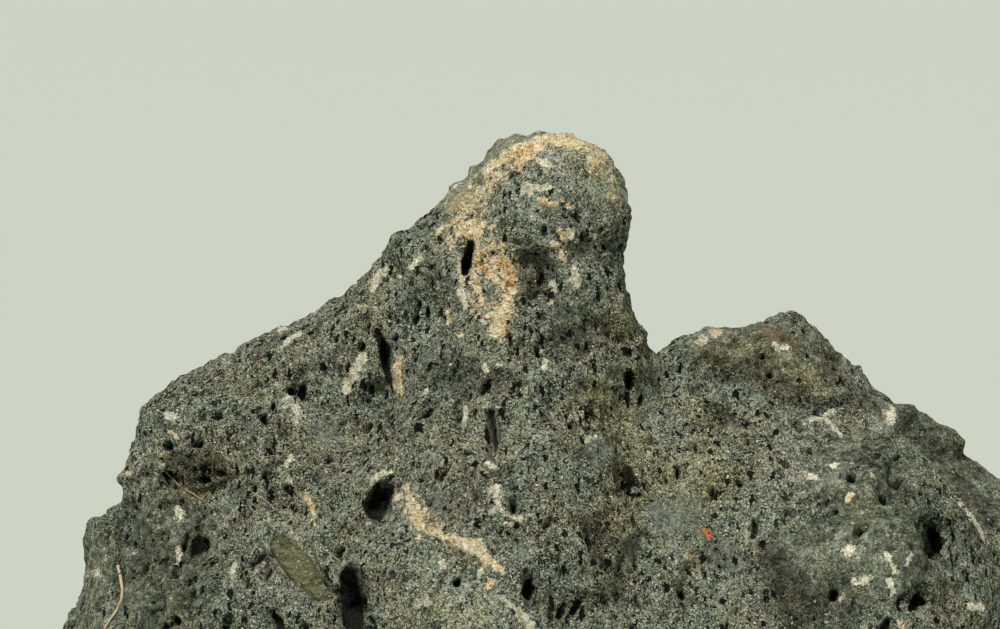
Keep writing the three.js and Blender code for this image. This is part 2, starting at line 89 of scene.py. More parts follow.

# Crusts, stains, specks, worn stretches, painted shade and painted highlights: chains of (x, y, half width).
CRUSTS = {
    "tan": [
        # Along the summit's crest
        [(437, 233, 2), (445, 226, 2.4), (455, 221, 2.4), (466, 214, 2)],
        [(484, 172, 3), (494, 164, 3.4)], [(498, 163, 4), (508, 156, 5), (517, 152, 5)],
        [(514, 150, 5), (524, 149, 6), (534, 145, 5.5)], [(518, 163, 4), (527, 155, 5), (536, 148, 5)],
        [(536, 141, 4.4), (547, 137, 4), (560, 135, 4), (572, 139, 5), (584, 143, 4.6), (594, 149, 4.4)],
        [(556, 143, 3.6), (566, 142, 4.4), (577, 146, 4)], [(596, 152, 4.4), (604, 157, 4)],
        [(541, 148, 3.6), (548, 143, 3)], [(589, 160, 3.4), (598, 162, 3)],
        [(470, 186, 2.6)], [(480, 186, 2)], [(487, 186, 2.4)], [(503, 152, 2.4)], [(519, 170, 2.6)],
        [(592, 170, 2.6)], [(455, 186, 2)], [(475, 177, 2.2)],
        # The front
        [(460, 232, 5), (468, 226, 6), (478, 224, 5), (483, 224, 4)],
        [(470, 232, 6), (478, 231, 5), (475, 240, 3.4)],
        [(475, 243, 4), (478, 252, 4.4), (478, 262, 5)],
        [(484, 252, 3), (494, 246, 3), (503, 246, 2.6)], [(474, 266, 4), (484, 268, 6), (494, 270, 5)],
        [(496, 262, 5), (504, 260, 5), (508, 268, 7), (509, 278, 8)],
        [(509, 278, 8), (508, 290, 6.4), (508, 302, 6)],
        [(508, 302, 6), (504, 314, 7), (500, 324, 9), (496, 332, 8)],
        [(484, 317, 2), (494, 313, 3.4), (502, 309, 5)], [(486, 268, 5), (496, 280, 3)],
        [(472, 272, 4), (475, 283, 4.4), (479, 293, 3), (482, 304, 2.6)],
        [(457, 268, 2.6), (461, 264, 3), (462, 276, 3.4), (463, 284, 2.6)],
        [(491, 228, 2.4), (494, 226, 2.2)], [(491, 236, 2.2)],
        [(560, 197, 1.8), (566, 202, 1.8), (570, 209, 2)],
        [(541, 200, 3), (547, 204, 3), (556, 205, 2.6)],
        [(560, 232, 3), (563, 240, 2.6), (570, 237, 3), (568, 230, 2.4)],
        [(551, 243, 3), (558, 245, 3)], [(561, 253, 3), (564, 260, 3)],
        [(448, 311, 2.4), (449, 321, 2.8)], [(551, 303, 3)], [(461, 336, 2.6)], [(606, 166, 2.4)],
        [(397, 496, 4)],
        [(405, 485, 2), (408, 494, 3.4), (412, 503, 6), (415, 514, 8), (418, 525, 6.4)],
        [(418, 527, 3), (426, 532, 2), (436, 535, 2.2), (444, 537, 3.4), (452, 539, 5)],
        [(452, 539, 5), (462, 543, 6.4), (473, 546, 6.4), (480, 540, 3.4)],
        [(473, 548, 6.4), (484, 554, 5.4), (493, 563, 4), (504, 573, 2.4)],
        [(491, 582, 3.4), (489, 587, 3)], [(902, 624, 4)], [(715, 332, 5), (719, 333, 4)],
        [(837, 340, 4), (838, 347, 4)], [(362, 275, 2), (361, 293, 2)],
        [(303, 494, 3), (310, 503, 2.4), (313, 512, 2.4), (315, 522, 2)],
        [(172, 434, 3), (178, 438, 2)], [(419, 537, 2.6)],
        [(399, 358, 2.6), (397, 368, 3.4), (397, 380, 3.6), (400, 391, 3.4)],
        [(160, 456, 3), (166, 457, 2.6)], [(128, 473, 3)], [(688, 556, 3.6)],
        [(848, 500, 2.6), (851, 494, 2.4)],
    ],
    "white": [
        [(524, 189, 4), (529, 186, 4.4), (531, 194, 3)],
        [(536, 188, 2.6), (543, 188, 3.4), (550, 187, 3)],
        [(539, 160, 2.6), (544, 163, 3.4), (550, 166, 2)], [(571, 232, 2), (570, 239, 2.4)],
        [(590, 234, 2), (594, 237, 2)], [(575, 269, 3), (576, 276, 4), (576, 283, 4)],
        [(552, 284, 2.6), (555, 290, 2.6)], [(545, 362, 3), (544, 368, 2.6)], [(540, 352, 2.4)],
        [(484, 367, 3), (487, 371, 2)], [(498, 366, 2.4), (503, 364, 2)],
        [(620, 189, 2), (625, 194, 2.2), (628, 201, 1.8)],
        [(460, 290, 3), (463, 298, 3.6), (465, 306, 3)],
        [(363, 356, 4), (361, 364, 4.4), (354, 374, 4.6), (348, 384, 4), (347, 390, 3.6)],
        [(372, 290, 2.4), (376, 280, 3.4), (380, 273, 3.4), (386, 269, 2.4)], [(399, 277, 2)],
        [(411, 268, 2.4), (416, 262, 2.6), (421, 257, 2.6)], [(281, 328, 4)],
        [(284, 345, 1.8), (292, 337, 1.8), (302, 333, 2)], [(289, 397, 3), (286, 406, 2.6)],
        [(295, 404, 3), (298, 414, 3.4), (296, 423, 2.4)], [(168, 415, 3), (174, 417, 4)],
        [(426, 390, 2.6)], [(466, 407, 2), (465, 418, 2.4), (463, 427, 2)],
        [(158, 461, 1.8), (162, 467, 3)], [(178, 508, 3), (180, 516, 4)],
        [(178, 546, 2), (179, 562, 2.6)], [(289, 481, 3)], [(292, 456, 2), (287, 464, 2.4)],
        [(371, 480, 2.4), (380, 475, 2.6), (393, 471, 2)],
        [(408, 503, 2), (413, 512, 3), (419, 506, 2)],
        [(460, 543, 2.4), (470, 548, 3), (480, 555, 2.4)], [(441, 562, 3), (444, 568, 3.4)],
        [(480, 572, 3)], [(505, 600, 1.6), (515, 608, 2), (524, 618, 4), (530, 625, 5)],
        [(428, 603, 4)], [(490, 490, 1.8), (497, 486, 2.6), (498, 497, 3), (499, 507, 2.2)],
        [(499, 507, 2.2), (506, 513, 2), (513, 518, 2.2), (521, 517, 2)],
        [(499, 507, 2), (491, 512, 1.8), (493, 519, 1.4)],
        [(521, 517, 2), (517, 525, 1.6), (505, 524, 1.6)],
        [(484, 460, 1.8), (489, 465, 3), (494, 468, 2)],
        [(804, 424, 1.6), (812, 419, 1.6), (822, 418, 1.8)],
        [(824, 416, 1.8), (834, 410, 2)], [(826, 419, 1.6), (834, 427, 1.6), (842, 436, 1.4)],
        [(835, 466, 3)], [(872, 475, 2.2)], [(806, 477, 2.2), (816, 477, 2.4)],
        [(847, 553, 4), (853, 549, 3.4)], [(886, 552, 2.2), (891, 562, 2.2), (896, 573, 1.6)],
        [(912, 552, 1.6), (907, 566, 1.6)], [(855, 582, 3.4), (869, 579, 4)],
        [(890, 582, 3), (893, 593, 2.6)], [(841, 599, 3.4)], [(970, 606, 3), (982, 607, 3)],
        [(960, 503, 1.4), (969, 512, 1.6), (978, 527, 1.8), (984, 540, 1.6)],
        [(775, 345, 3), (787, 349, 3)], [(702, 341, 5)], [(890, 412, 5), (892, 420, 4)], [(97, 573, 4)],
        [(134, 553, 2)], [(235, 565, 2.4), (232, 571, 2.6)], [(584, 412, 1.8)],
        [(585, 442, 1.4), (592, 437, 1.2), (602, 438, 1.2)], [(433, 584, 2)],
    ],
    "rust": [
        [(542, 202, 3), (548, 205, 2.4)], [(580, 176, 3), (588, 177, 3)], [(592, 169, 3)],
        [(494, 228, 2.6)], [(606, 309, 2.4), (612, 314, 3), (614, 319, 2)],
        [(597, 192, 3), (600, 202, 2.4), (588, 202, 2)], [(609, 191, 2.4)], [(544, 345, 3)],
        [(503, 262, 5), (509, 272, 5), (508, 288, 4)], [(478, 262, 4), (486, 270, 4)],
        [(514, 158, 5), (530, 147, 4)], [(544, 144, 3)], [(564, 231, 2.4)],
        [(255, 357, 7), (262, 364, 4)], [(305, 508, 3)], [(322, 506, 3)], [(330, 522, 3)],
        [(307, 475, 2)], [(336, 484, 2)], [(479, 594, 2.6)], [(457, 584, 4)], [(637, 430, 2)],
        [(568, 438, 2.6)], [(694, 430, 2)], [(666, 418, 2.4)], [(826, 457, 3)], [(815, 532, 4)],
        [(884, 570, 2)], [(912, 608, 4)], [(762, 331, 7), (795, 345, 7)],
        [(178, 484, 5), (190, 492, 8), (205, 497, 6)], [(275, 452, 3)], [(565, 596, 3)],
        [(571, 424, 5)], [(601, 549, 4)], [(690, 592, 2)], [(976, 565, 4)],
    ],
    "orange": [[(704, 529, 2), (708, 535, 3), (711, 531, 1.6)]],
    "flecked": [
        # Thinly, over the summit's crown and left flank, and round the thick crust
        [(545, 140, 12), (515, 158, 14), (490, 182, 16), (466, 214, 16), (448, 246, 12)],
        [(596, 152, 10), (611, 178, 10), (616, 206, 8)],
        [(486, 244, 14), (508, 262, 14), (506, 300, 14), (484, 316, 12), (470, 296, 10)],
        [(410, 500, 12), (446, 540, 12), (486, 562, 12)],
    ],
    "khaki": [
        [(451, 208, 5), (460, 203, 8), (470, 200, 8), (476, 202, 5)],
    ],
    "olive": [[(281, 546, 11), (298, 566, 14), (319, 589, 11)]],
    "slate": [
        [(596, 447, 12)], [(633, 552, 9)], [(325, 432, 14)],
        [(665, 512, 16), (690, 508, 12), (672, 528, 14)], [(905, 560, 9)], [(486, 320, 14)],
        [(440, 505, 14)], [(487, 252, 5)], [(489, 297, 8)],
        [(566, 205, 3), (572, 218, 3), (576, 228, 2)], [(715, 552, 14), (735, 560, 10)],
        [(640, 420, 8)], [(960, 540, 12)],
    ],
    "brown": [
        [(605, 400, 20), (640, 470, 26), (600, 545, 26), (570, 610, 30)],
        [(215, 460, 24), (190, 492, 18)], [(760, 365, 26), (700, 360, 16), (820, 380, 16)],
        [(620, 330, 14), (640, 360, 16)], [(700, 440, 24), (720, 480, 24)],
    ],
    "dark": [
        # Painted shade down in the folds and hollows, under the summit's brow and behind the right lobe's
        # crest
        [(534, 262, 16), (540, 280, 16)], [(560, 345, 14), (600, 330, 12)],
        [(440, 372, 14), (500, 380, 12)], [(208, 478, 11), (176, 478, 6)],
        [(604, 535, 10), (600, 560, 7)], [(626, 482, 10)], [(722, 372, 11), (745, 380, 9)],
        [(712, 412, 8), (728, 420, 7)], [(905, 426, 9), (880, 408, 8), (858, 396, 8), (835, 402, 8)],
        [(906, 427, 9), (935, 451, 9), (962, 484, 9), (985, 518, 9)], [(755, 374, 7), (720, 370, 7)],
        [(756, 375, 10), (780, 390, 8), (806, 402, 7), (832, 406, 6)], [(775, 560, 16), (790, 600, 18)],
        [(120, 520, 4), (119, 560, 5), (122, 600, 5)], [(845, 610, 22), (800, 620, 16)],
    ],
    "pit": [
        # Painted shade: the insides of the deep cavities, painted black
        [(471, 243, 2.6), (469, 252, 3.6), (466, 262, 4), (465, 272, 3)],
        [(378, 330, 2), (381, 345, 3), (385, 362, 3.4), (389, 380, 2.6)],
        [(384, 490, 8), (376, 512, 8)], [(348, 575, 7), (351, 600, 9), (354, 625, 9)],
        [(627, 470, 4), (631, 490, 5)], [(629, 371, 2.6), (630, 387, 2.6)],
        [(932, 530, 4), (936, 548, 4)], [(914, 603, 4), (926, 594, 4)], [(551, 295, 3)],
    ],
    "pale": [
        # Paler stretches: the summit's top, pale rock and painted light from above; pale rock on the middle
        # right; a painted highlight along the right lobe's rim
        [(530, 180, 26), (560, 160, 26), (600, 180, 22)], [(530, 215, 20)],
        [(650, 420, 24), (690, 470, 24), (665, 560, 24)],
        # The right lobe's rim: a painted highlight
        [(700, 394, 5), (740, 396, 5), (765, 400, 5), (792, 418, 5), (830, 426, 5), (862, 422, 5)],
        [(862, 422, 5), (903, 446, 5), (938, 474, 5), (966, 508, 5), (985, 545, 6)],
    ],
    "dull": [
        [(850, 480, 40), (900, 560, 40), (810, 570, 40)], [(170, 540, 40), (160, 610, 40)],
        [(905, 424, 12), (935, 440, 16), (985, 500, 20)], [(575, 318, 20)],
    ],
    "smooth": [
        [(700, 350, 14), (760, 345, 26), (820, 355, 26)],
        [(870, 400, 12), (930, 440, 15), (985, 490, 18)], [(100, 545, 16), (90, 610, 20)],
        [(455, 192, 12), (486, 162, 12), (515, 145, 7)],
    ],
    "worn": [
        [(452, 190, 16), (476, 166, 18), (505, 146, 18), (545, 148, 16), (590, 165, 16)],
        [(600, 190, 20)], [(440, 590, 34), (480, 600, 30)], [(325, 432, 18)], [(672, 520, 22)],
        [(298, 566, 22)], [(830, 470, 30), (880, 560, 40), (820, 560, 30)],
        [(890, 420, 16), (940, 450, 16), (985, 500, 16)],
    ],
}

# Patches on the other sides: seed, how many, and their least and greatest radius in mm.
SCATTERED = {
    "tan": (41, 46, 1.2, 4.5),
    "white": (42, 80, 0.8, 2.6),
    "rust": (43, 40, 1.0, 3.4),
    "slate": (44, 18, 3.0, 7.0),
    "brown": (45, 14, 9.0, 20.0),
    "dull": (46, 12, 9.0, 22.0),
}

# Single pores that show: (x, y, half width, half height, lean in degrees).
SHOWN_PORES = [
    (511, 340, 4, 9, 8), (539, 351, 5, 8, 0), (503, 196, 3, 4, 0),
    (583, 236, 4, 5, 0), (538, 272, 5, 8, 0), (551, 295, 4, 4, 0), (575, 217, 2.4, 3, 0),
    (621, 242, 5, 5, 0), (635, 340, 4, 7, 0), (622, 314, 4, 4, 0), (457, 415, 4, 9, 0),
    (492, 430, 4, 17, 0), (364, 452, 5, 5, 0), (384, 437, 3, 13, -8), (475, 487, 4, 11, -8),
    (465, 467, 3, 8, 0), (529, 469, 3, 8, 0), (509, 471, 4, 7, 10), (514, 502, 5, 8, 0),
    (517, 524, 5, 5, 0), (594, 497, 4, 6, 0), (564, 504, 4, 5, 0), (601, 535, 9, 13, 0),
    (594, 410, 5, 11, 0), (572, 425, 6, 5, 0), (530, 592, 9, 14, -10), (457, 582, 5, 5, 20),
    (560, 562, 3, 9, 0), (642, 562, 3, 11, 0), (640, 600, 4, 9, 0), (687, 592, 6, 7, 20),
    (620, 597, 4, 6, 0), (696, 447, 4, 7, 0), (712, 492, 4, 7, 0), (680, 472, 4, 8, 10),
    (740, 482, 5, 6, 20), (811, 450, 5, 6, 0), (870, 435, 5, 4, 0), (850, 475, 7, 7, 0),
    (882, 494, 6, 9, 0), (897, 477, 8, 11, 0), (860, 527, 9, 6, 20), (954, 560, 5, 10, 0),
    (832, 595, 6, 7, 20), (835, 510, 5, 5, 0), (962, 477, 5, 7, 0), (217, 412, 6, 7, 0),
    (199, 445, 4, 6, 0), (166, 447, 8, 7, 30), (162, 477, 7, 5, 0), (242, 515, 5, 7, 0),
    (185, 542, 4, 13, 8), (191, 592, 6, 6, 0),
    (151, 612, 6, 7, 0), (332, 500, 4, 9, 10), (324, 482, 5, 5, 0), (265, 476, 3, 7, 0),
    (255, 382, 6, 7, 20), (275, 405, 4, 6, 0), (292, 391, 6, 5, 0), (361, 346, 5, 6, 0),
    (367, 325, 4, 7, 0), (401, 330, 3, 8, 0), (417, 304, 5, 5, 0), (428, 268, 4, 4, 0),
    (335, 484, 3, 4, 0), (200, 485, 9, 4, 10), (216, 478, 7, 5, 0), (762, 356, 5, 4, 0), (770, 372, 6, 5, 0),
    (835, 357, 4, 9, 0), (340, 528, 4, 8, 30), (655, 505, 4, 7, 0), (748, 440, 4, 6, 0),
]

# Limits of a pore's half width, half height and depth, in mm.
NARROWEST_PORE, LONGEST_PORE, DEEPEST_PORE = 0.4, 4.0, 4.5

# Hollows, cracks and, where the depth is negative, ledges: depth in mm, then (x, y, half width).
HOLLOWS = [
    # Under the summit's brow
    (3.2, [(522, 260, 8), (534, 266, 12), (542, 278, 13)]), (1.3, [(540, 292, 10), (551, 296, 8)]),
    (0.8, [(513, 242, 1.8), (522, 245, 2.2), (531, 243, 2)]), (0.6, [(572, 262, 4), (584, 250, 6)]),
    (0.7, [(527, 206, 2), (525, 218, 3)]), (0.6, [(549, 208, 1.6), (548, 218, 2)]),
    (1.4, [(606, 246, 4), (620, 246, 5)]),
    # Middle
    (2.6, [(491, 412, 3), (494, 430, 4.5), (490, 455, 2.6)]),
    (1.6, [(473, 472, 2), (476, 486, 2.8), (478, 502, 2)]),
    (1.3, [(488, 478, 3), (505, 470, 5), (512, 466, 4)]), (1.8, [(513, 500, 4), (515, 512, 5)]),
    (1.8, [(626, 466, 8), (630, 488, 9)]), (2.2, [(598, 526, 9), (605, 542, 10)]),
    (2.2, [(529, 580, 5), (531, 592, 6), (535, 608, 5)]),
    (1.0, [(506, 531, 1.8), (516, 541, 2.2), (527, 556, 1.8)]),
    (1.4, [(457, 400, 3), (457, 420, 4), (462, 432, 3)]), (1.0, [(503, 378, 9), (520, 386, 8)]),
    (1.3, [(547, 346, 7), (553, 360, 5)]), (1.0, [(587, 353, 6)]),
    (1.2, [(612, 330, 8), (622, 340, 6)]), (1.2, [(443, 360, 12), (456, 374, 10)]),
    (-0.8, [(480, 346, 14), (500, 350, 12)]), (1.2, [(430, 392, 9), (424, 410, 7)]),
    (-0.7, [(540, 440, 22)]), (1.0, [(655, 380, 8), (672, 392, 7)]),
    # Foot boulder
    (1.0, [(446, 572, 2.2), (439, 590, 3), (428, 612, 3.4), (423, 629, 3.4)]),
    (-0.8, [(405, 490, 3), (417, 525, 4), (443, 537, 5), (480, 556, 5), (503, 575, 4)]),
    (2.4, [(360, 604, 5), (366, 629, 7)]), (0.9, [(412, 582, 8), (402, 600, 8)]),
    # Left flank
    (1.8, [(175, 470, 15), (205, 480, 17)]),
    (1.3, [(160, 474, 3), (178, 490, 4), (196, 499, 4.4), (215, 493, 3.4), (230, 478, 3)]),
    (1.2, [(262, 374, 8), (274, 372, 6)]), (1.0, [(222, 418, 9), (250, 412, 9)]),
    (1.3, [(262, 536, 2.4), (275, 562, 2.2), (296, 594, 2.4)]),
    (1.5, [(304, 543, 2.6), (319, 570, 2.8), (333, 594, 3)]),
    (1.1, [(243, 560, 1.8), (240, 580, 2), (236, 597, 2.4), (228, 607, 3)]),
    (0.9, [(315, 470, 1.5), (313, 484, 1.5)]), (1.1, [(332, 492, 2), (329, 508, 2)]),
    (1.2, [(385, 424, 2), (388, 446, 2.4), (386, 462, 2)]), (1.0, [(292, 436, 8), (276, 446, 7)]),
    (1.2, [(196, 556, 6), (200, 545, 6)]), (1.3, [(148, 588, 8), (158, 604, 6)]),
    (-0.9, [(236, 430, 12), (270, 462, 10)]), (-0.8, [(150, 520, 14)]),
    (0.9, [(134, 512, 7), (130, 548, 6)]),
    # Right
    (1.8, [(708, 388, 9), (718, 403, 7)]), (1.6, [(706, 366, 10), (738, 378, 12)]),
    (-1.2, [(742, 389, 7)]), (-1.0, [(800, 384, 9)]),
    (1.6, [(896, 460, 4), (892, 478, 5), (898, 492, 5)]), (1.8, [(880, 488, 3), (885, 499, 3.6)]),
    (1.1, [(854, 475, 6)]), (2.4, [(931, 527, 8), (935, 547, 8)]),
    (2.2, [(906, 603, 6), (923, 592, 6)]), (1.5, [(854, 533, 4), (863, 522, 5)]),
    (1.2, [(744, 470, 10), (760, 478, 9)]), (-1.0, [(812, 428, 12), (838, 424, 8)]),
    (1.1, [(726, 414, 8), (722, 430, 7)]), (-0.9, [(672, 520, 22)]),
    (1.2, [(640, 540, 6), (644, 570, 5)]), (1.3, [(700, 560, 9), (686, 592, 8)]),
    (1.4, [(778, 560, 8), (790, 590, 9)]), (-1.0, [(905, 556, 16)]),
]

# The skyline's own hollows and swellings, which reach round to the far side.
SKYLINE = [
    (2.0, [(110, 522, 3), (98, 506, 9), (113, 494, 8)]),
    (1.2, [(140, 452, 3), (123, 464, 8), (130, 440, 9)]),
    (-1.5, [(170, 425, 4), (150, 409, 11), (176, 389, 12), (205, 374, 12), (223, 366, 9)]),
    (-1.9, [(358, 292, 10), (372, 280, 12), (388, 262, 12), (402, 242, 9)]),
    (1.7, [(476, 182, 3), (458, 176, 8), (464, 161, 9), (477, 155, 7)]),
    (-1.8, [(504, 150, 8), (516, 148, 8)]),
    (-1.0, [(528, 144, 8), (542, 140, 7)]),
    (0.8, [(838, 366, 3), (850, 354, 8), (875, 386, 8)]),
    (-2.4, [(905, 416, 10), (925, 428, 11), (942, 440, 10), (954, 449, 6)]),
]

# Stretches with few large pores.
QUIET = [
    [(560, 190, 60)], [(520, 300, 50), (540, 400, 60), (560, 480, 60), (640, 560, 50)],
    [(700, 480, 60)], [(440, 590, 50)],
]

# Dry rootlets: radius in mm, then their points.
ROOTLETS = [
    (0.30, [(118, 566), (121, 580), (122, 596), (117, 610), (110, 620), (103, 632), (99, 646)]),
    (0.10, [(148, 448), (156, 460), (166, 472), (178, 484), (190, 492), (203, 500), (213, 508)]),
    (0.07, [(252, 492), (262, 498), (272, 506), (280, 513)]),
    (0.07, [(322, 548), (332, 555), (341, 562)]),
]


def colour_setting(name, description, default):
    """A setting that holds a colour."""
    return FloatVectorProperty(
        name=name, description=description, subtype="COLOR", size=3, min=0, max=1, default=default
    )


class StoneProps(PropertyGroup):
    """The stone's surface."""

    voxel: FloatProperty(
        name="Cell", description="Spacing of the surface while it is cut", default=0.34 * MM,
        min=0.3 * MM, max=2 * MM, unit="LENGTH", precision=5,
    )
    triangles: IntProperty(
        name="Triangles", description="How many triangles the finished surface has",
        default=194000, min=20000, max=199000,
    )
    pore_count: IntProperty(
        name="Pores", description="Gas pores over 1 mm across, over the whole stone", default=3400,
        min=0, max=12000,
    )
    seed: IntProperty(name="Seed", description="Seed for everything that is scattered", default=7)
    dark_rock: colour_setting("Dark rock", "Colour of the rock's dark grains", (0.010, 0.012, 0.008))
    rock: colour_setting("Rock", "Colour of the rock", (0.175, 0.190, 0.135))
    pale_rock: colour_setting("Pale rock", "Colour of the rock's pale grains", (0.58, 0.60, 0.46))
    tan_crust: colour_setting("Tan crust", "Colour of the tan mineral crust", (0.93, 0.70, 0.35))
    white_crust: colour_setting("White crust", "Colour of the white mineral crust", (0.88, 0.82, 0.56))


class StageProps(PropertyGroup):
    """The floor, the lights and the camera."""

    floor_colour: colour_setting("Floor", "Colour of the floor", (0.505, 0.54, 0.485))
    lens: FloatProperty(
        name="Lens", description="Focal length of the camera, in millimetres", default=127.04,
        min=20, max=300,
    )
    distance: FloatProperty(
        name="Distance", description="From the camera to the point it aims at", default=0.59842,
        min=0.2, max=3, unit="LENGTH",
    )
    elevation: FloatProperty(
        name="Elevation", description="How far the camera looks down", default=math.radians(8),
        min=0, max=math.radians(80), subtype="ANGLE",
    )
    aim: FloatVectorProperty(
        name="Aim", description="The point that the camera aims at", default=(-0.01348, -0.00492, 0.08906),
        size=3, subtype="TRANSLATION", precision=5,
    )


# ---- The camera's frame --------------------------------------------------------------------------
class Sight:
    """Turns pixels of the camera's frame into places on the stone, and back."""

    def __init__(self, stage):
        self.aim = Vector(stage.aim)
        self.distance = stage.distance
        self.focal = stage.lens / SENSOR_WIDTH * FRAME_WIDTH
        sine, cosine = math.sin(stage.elevation), math.cos(stage.elevation)
        self.right = Vector((1, 0, 0))
        self.up = Vector((0, sine, cosine))
        self.ahead = Vector((0, cosine, -sine))
        self.eye = self.aim - self.ahead * self.distance

    def pixels(self, points):
        """x, y and depth of each point, as rows."""
        offset = points - np.array(self.aim)
        depth = offset @ np.array(self.ahead) + self.distance
        x = FRAME_WIDTH / 2 + self.focal * (offset @ np.array(self.right)) / depth
        y = FRAME_HEIGHT / 2 - self.focal * (offset @ np.array(self.up)) / depth
        return np.stack([x, y, depth], axis=1)

    def meet(self, tree, x, y):
        """The place and normal where the line of sight through a pixel meets the stone."""
        across = (x - FRAME_WIDTH / 2) / self.focal
        above = (FRAME_HEIGHT / 2 - y) / self.focal
        way = (self.right * across + self.up * above + self.ahead).normalized()
        place, normal, _, _ = tree.ray_cast(self.eye, way)
        if place is None:
            return None
        return place, normal


# ---- Noise ---------------------------------------------------------------------------------------
def smooth_noise(points, wave, seed):
    """Gradient noise of about -1 to 1 at each point, with features of the size of wave."""
    rng = np.random.default_rng(seed)
    shuffled = rng.permutation(256)
    shuffled = np.concatenate([shuffled, shuffled, shuffled])
    slopes = rng.normal(size=(256, 3))
    slopes /= np.linalg.norm(slopes, axis=1)[:, None]
    scaled = points / wave + 1000.37
    cell = np.floor(scaled).astype(np.int64)
    inside = scaled - cell
    ease = inside**3 * (inside * (inside * 6 - 15) + 10)
    cell &= 255
    total = np.zeros(len(points))
    for corner in np.ndindex(2, 2, 2):
        c = np.array(corner)
        key = shuffled[shuffled[shuffled[cell[:, 0] + c[0]] + cell[:, 1] + c[1]] + cell[:, 2] + c[2]]
        reach = ((inside - c) * slopes[key]).sum(axis=1)
        total += reach * np.abs(1 - c - ease).prod(axis=1)
    return total * 1.6


def eased(values, low, high):
    """0 below low, 1 above high, and a smooth step between."""
    t = np.clip((values - low) / (high - low), 0, 1)
    return t * t * (3 - 2 * t)


# ---- Cutting the surface -------------------------------------------------------------------------
# How much less the thinning weighs what is spared, and how strongly it heeds those weights.
SPARED_WEIGHT = 0.3
SPARING = 0.02
# The depth in mm at which a pore is painted fully dark, with grime and painted shade.
FULLY_DARK_PORE_DEPTH = 1.6


def placed(name, data):
    """A new object in the scene."""
    thing = bpy.data.objects.new(name, data)
    bpy.context.scene.collection.objects.link(thing)
    return thing


def closed_copy(node, name):
    """A copy of a solid's mesh with its loose triangles joined and its sharp rims creased."""
    shape = bmesh.new()
    shape.from_mesh(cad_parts[node].data)
    bmesh.ops.remove_doubles(shape, verts=shape.verts, dist=0.001 * MM)
    crease = shape.edges.layers.float.new("crease_edge")
    for edge in shape.edges:
        if len(edge.link_faces) == 2 and edge.calc_face_angle() > math.radians(48):
            edge[crease] = 0.7
    mesh = bpy.data.meshes.new(name)
    shape.to_mesh(mesh)
    shape.free()
    return placed(name, mesh)


def apply_modifiers(piece):
    """Makes the piece's mesh what its modifiers show, and takes them off."""
    shown = piece.evaluated_get(bpy.context.evaluated_depsgraph_get())
    finished = bpy.data.meshes.new_from_object(shown)
    piece.modifiers.clear()
    old, piece.data = piece.data, finished
    finished.name = piece.name
    bpy.data.meshes.remove(old)


def vertex_table(mesh, what):
    """One row of three numbers for each vertex."""
    table = np.empty(len(mesh.vertices) * 3, dtype=np.float32)
    mesh.vertices.foreach_get(what, table)
    return table.reshape(-1, 3).astype(np.float64)


def tree_of(mesh):
    """A tree that finds where a line of sight meets the mesh."""
    shape = bmesh.new()
    shape.from_mesh(mesh)
    tree = BVHTree.FromBMesh(shape)
    shape.free()
    return tree


def finder_of(points):
    """A tree that finds the points near a place."""
    finder = KDTree(len(points))
    for number, point in enumerate(points):
        finder.insert(point, number)
    finder.balance()
    return finder


def chain_reach(pixels, chain):
    """1 on a chain's line, 0.5 at its half width and 0 at twice that, for each vertex."""
    best = np.zeros(len(pixels))
    links = list(zip(chain, chain[1:])) or [(chain[0], chain[0])]
    for (ax, ay, aw), (bx, by, bw) in links:
        along = np.array([bx - ax, by - ay], dtype=float)
        length = max(along @ along, 1e-9)
        t = np.clip(((pixels[:, :2] - (ax, ay)) @ along) / length, 0, 1)
        near = np.stack([ax + t * along[0], ay + t * along[1]], axis=1)
        gap = np.linalg.norm(pixels[:, :2] - near, axis=1)
        best = np.maximum(best, 1 - gap / (2 * (aw + t * (bw - aw))))
    return np.clip(best, 0, 1)


class Skin:
    """The stone's surface as arrays, while it is cut."""

    def __init__(self, mesh, sight, seed):
        self.mesh, self.sight = mesh, sight
        self.rng = np.random.default_rng(seed)
        self.points = vertex_table(mesh, "co")
        self.normals = vertex_table(mesh, "normal")
        self.tree = tree_of(mesh)
        self.pixels = sight.pixels(self.points)
        self.facing = eased(-(self.normals @ np.array(self.sight.ahead)), -0.05, 0.15)
        # The underside stays flat.
        self.free = eased(self.points[:, 2], 0.3 * MM, 2.5 * MM)

    def reach(self, chain, round_the_edge=False):
        """1 on a chain that is drawn on the front, 0.5 at its half width and 0 at twice that."""
        met = self.sight.meet(self.tree, chain[0][0], chain[0][1])
        if met is None:
            return np.zeros(len(self.points))
        depth = (met[0] - self.sight.eye).dot(self.sight.ahead)
        apart = np.abs(self.pixels[:, 2] - depth)
        close = eased(-apart, -CHAIN_DEPTH * MM, (CHAIN_DEPTH_FADE - CHAIN_DEPTH) * MM)
        return chain_reach(self.pixels, chain) * close * (1 if round_the_edge else self.facing)

    def painted(self, chains):
        """How far each vertex is within any of the chains."""
        value = np.zeros(len(self.points))
        for chain in chains:
            value = np.maximum(value, self.reach(chain))
        return value

    def shown(self):
        """1 where the surface faces the camera and lies within its frame."""
        x, y = self.pixels[:, 0], self.pixels[:, 1]
        inside = eased(x, -30, 0) * eased(-x, -FRAME_WIDTH - 30, -FRAME_WIDTH)
        inside *= eased(-y, -FRAME_HEIGHT - 30, -FRAME_HEIGHT)
        return inside * eased(-(self.normals @ np.array(self.sight.ahead)), -0.45, -0.05)

    def room(self):
        """How far each vertex can move out before it leaves the solid's box, in mm."""
        low, high = (np.array(corner) for corner in SOLID_BOX)
        steep = np.maximum(np.abs(self.normals), 1e-6)
        gap = np.where(self.normals > 0, high - self.points, self.points - low)
        return (gap / steep).min(axis=1) / MM


